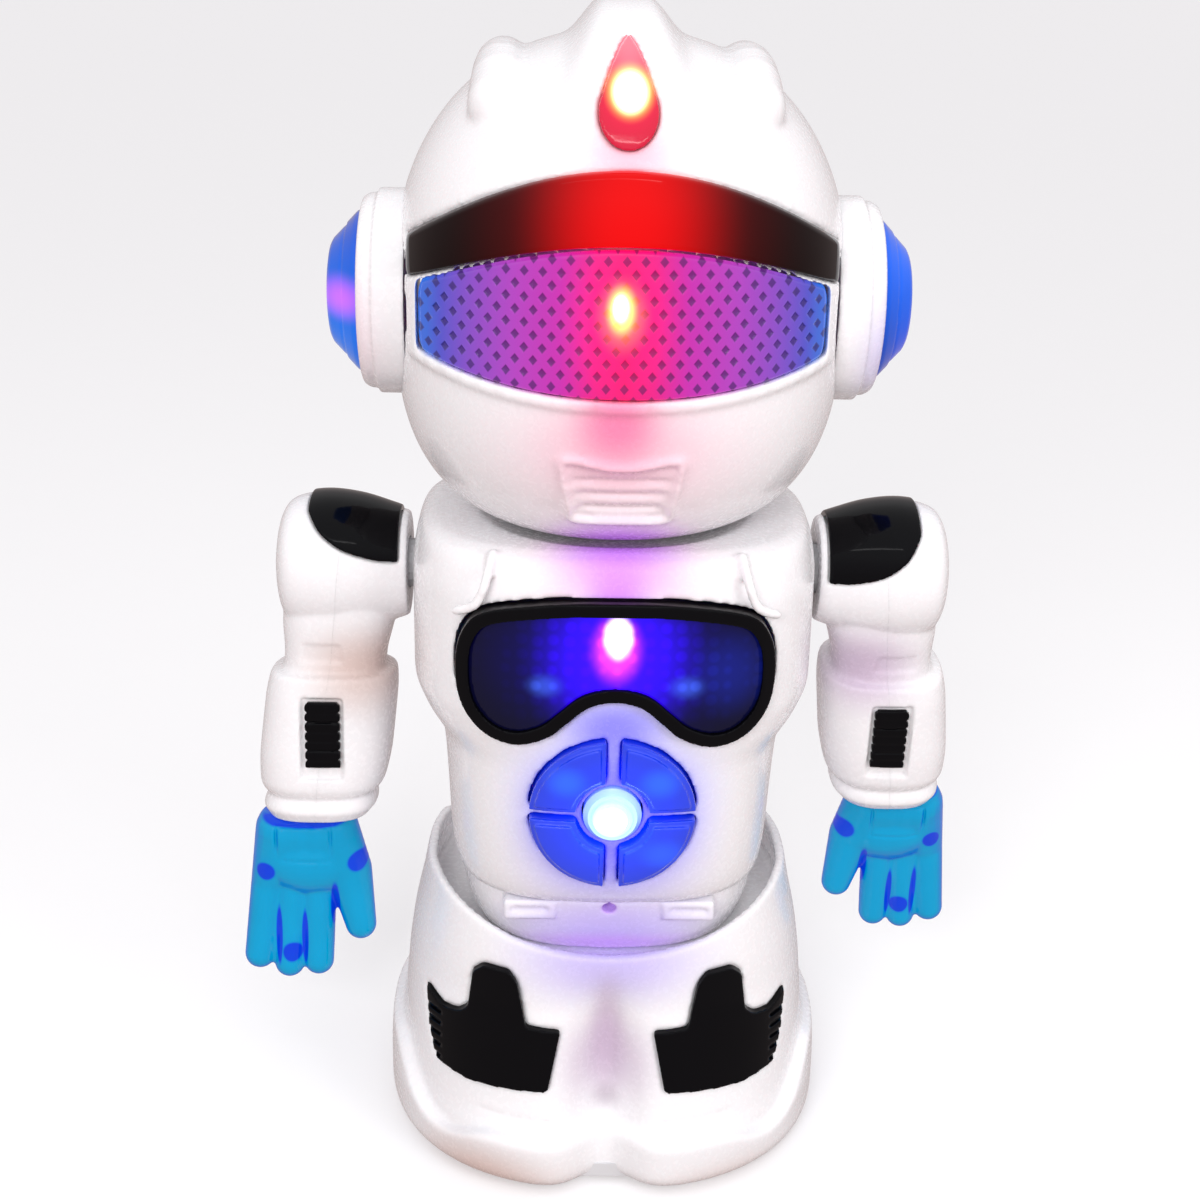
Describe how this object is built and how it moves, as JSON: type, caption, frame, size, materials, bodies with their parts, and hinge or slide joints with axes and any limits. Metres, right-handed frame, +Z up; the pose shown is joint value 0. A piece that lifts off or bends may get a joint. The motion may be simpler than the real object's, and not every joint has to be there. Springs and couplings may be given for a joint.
{
  "type": "toy robot",
  "caption": "Bump-and-go toy robot with a domed head, lit visor, turning waist and neck, swinging arms and a hidden turntable drive in its feet.",
  "frame": {"origin": "middle of the footprint, on the floor", "axes": "+Z up; the face looks along -Y; +X is the robot's own left"},
  "size_m": [0.1574, 0.0924, 0.2346],
  "materials": {
    "white_shell": "glossy injection-moulded white ABS, faint sink and flow marks",
    "black_gloss": "gloss black plastic",
    "smoked_red": "smoked deep red translucent plastic",
    "visor_blue": "translucent blue-violet lens with moulded dimples",
    "lamp_red": "translucent red lens, lit",
    "lens_blue": "translucent royal blue lens plastic",
    "smoked_blue": "smoked dark blue lens plastic",
    "clear_lens": "clear faceted lamp lens",
    "hand_blue": "translucent cyan-blue plastic",
    "grey_plastic": "satin grey plastic",
    "black_plastic": "satin black plastic",
    "reflector": "metallised reflector",
    "circuit_green": "green circuit board",
    "rubber": "soft black rubber tread",
    "steel": "plated steel",
    "cell": "plain wrapped battery cell"
  },
  "bodies": {
    "base": {"legs_front_shell": "white_shell", "legs_rear_shell": "white_shell", "base_plate": "grey_plastic", "turntable_bridge": "grey_plastic", "knee_patch_left": "black_gloss", "knee_patch_right": "black_gloss"},
    "turntable": {"turntable": "grey_plastic", "gear_frame": "grey_plastic", "drive_motor": "steel"},
    "drive_wheels": {"drive_axle": "steel", "drive_wheel_left": "rubber", "drive_wheel_right": "rubber", "axle_gear": "grey_plastic"},
    "idler": {"idler_gear": "grey_plastic"},
    "pinion": {"motor_pinion": "steel"},
    "roller_front": {"roller_front": "black_plastic"},
    "roller_rear_left": {"roller_rear_left": "black_plastic"},
    "roller_rear_right": {"roller_rear_right": "black_plastic"},
    "torso": {"torso_front_shell": "white_shell", "torso_rear_shell": "white_shell", "waist_ring": "white_shell", "chest_bezel": "black_gloss", "chest_lens": "smoked_blue", "chest_reflector": "reflector", "emblem_pads": "lens_blue", "emblem_lamp": "clear_lens", "circuit_board": "circuit_green", "battery_tray": "black_plastic", "battery_1": "cell", "battery_2": "cell", "battery_3": "cell", "battery_door": "white_shell", "battery_door_screw": "steel"},
    "switch": {"power_slider": "black_plastic"},
    "head": {"head_front_shell": "white_shell", "head_rear_shell": "white_shell", "visor_brow": "smoked_red", "visor_lens": "visor_blue", "visor_reflector": "reflector", "crest_lamp": "lamp_red", "ear_ring_left": "white_shell", "ear_ring_right": "white_shell", "ear_lens_left": "lens_blue", "ear_lens_right": "lens_blue", "speaker": "black_plastic", "neck_spindle": "grey_plastic"},
    "left_arm": {"left_arm_inner_shell": "white_shell", "left_arm_outer_shell": "white_shell", "left_shoulder_patch": "black_gloss", "left_forearm_patch": "black_gloss", "left_hand_front": "hand_blue", "left_hand_rear": "hand_blue", "left_shoulder_axle": "grey_plastic"},
    "right_arm": {"right_arm_inner_shell": "white_shell", "right_arm_outer_shell": "white_shell", "right_shoulder_patch": "black_gloss", "right_forearm_patch": "black_gloss", "right_hand_front": "hand_blue", "right_hand_rear": "hand_blue", "right_shoulder_axle": "grey_plastic"}
  },
  "joints": [
    {"name": "waist_turn", "type": "hinge", "parent": "base", "child": "torso", "pos_m": [0, 0, 0.048], "axis": [0, 0, 1], "range_deg": [-20, 20]},
    {"name": "neck_turn", "type": "hinge", "parent": "torso", "child": "head", "pos_m": [0, 0, 0.134], "axis": [0, 0, 1], "range_deg": [-60, 60]},
    {"name": "left_shoulder", "type": "hinge", "parent": "torso", "child": "left_arm", "pos_m": [0.042, 0, 0.1225], "axis": [-1, 0, 0], "range_deg": [-45, 120]},
    {"name": "right_shoulder", "type": "hinge", "parent": "torso", "child": "right_arm", "pos_m": [-0.042, 0, 0.1225], "axis": [-1, 0, 0], "range_deg": [-45, 120]},
    {"name": "power_slide", "type": "slide", "parent": "torso", "child": "switch", "axis": [1, 0, 0], "range_m": [-0.004, 0]},
    {"name": "turntable_turn", "type": "hinge", "parent": "base", "child": "turntable", "pos_m": [0, 0, 0.0015], "axis": [0, 0, 1], "continuous": true},
    {"name": "wheel_spin", "type": "hinge", "parent": "turntable", "child": "drive_wheels", "pos_m": [0, 0, 0.009], "axis": [1, 0, 0], "continuous": true},
    {"name": "idler_spin", "type": "hinge", "parent": "turntable", "child": "idler", "pos_m": [0, 0, 0.0211], "axis": [1, 0, 0], "continuous": true},
    {"name": "pinion_spin", "type": "hinge", "parent": "turntable", "child": "pinion", "pos_m": [0, 0, 0.0284], "axis": [1, 0, 0], "continuous": true},
    {"name": "roller_front_spin", "type": "hinge", "parent": "base", "child": "roller_front", "pos_m": [0, -0.027, 0.004], "axis": [1, 0, 0], "continuous": true},
    {"name": "roller_rear_left_spin", "type": "hinge", "parent": "base", "child": "roller_rear_left", "pos_m": [0.026, 0.027, 0.004], "axis": [1, 0, 0], "continuous": true},
    {"name": "roller_rear_right_spin", "type": "hinge", "parent": "base", "child": "roller_rear_right", "pos_m": [-0.026, 0.027, 0.004], "axis": [1, 0, 0], "continuous": true}
  ],
  "couplings": [
    {"joint": "idler_spin", "follows": "wheel_spin", "ratio": -1.5652},
    {"joint": "pinion_spin", "follows": "wheel_spin", "ratio": 3}
  ]
}
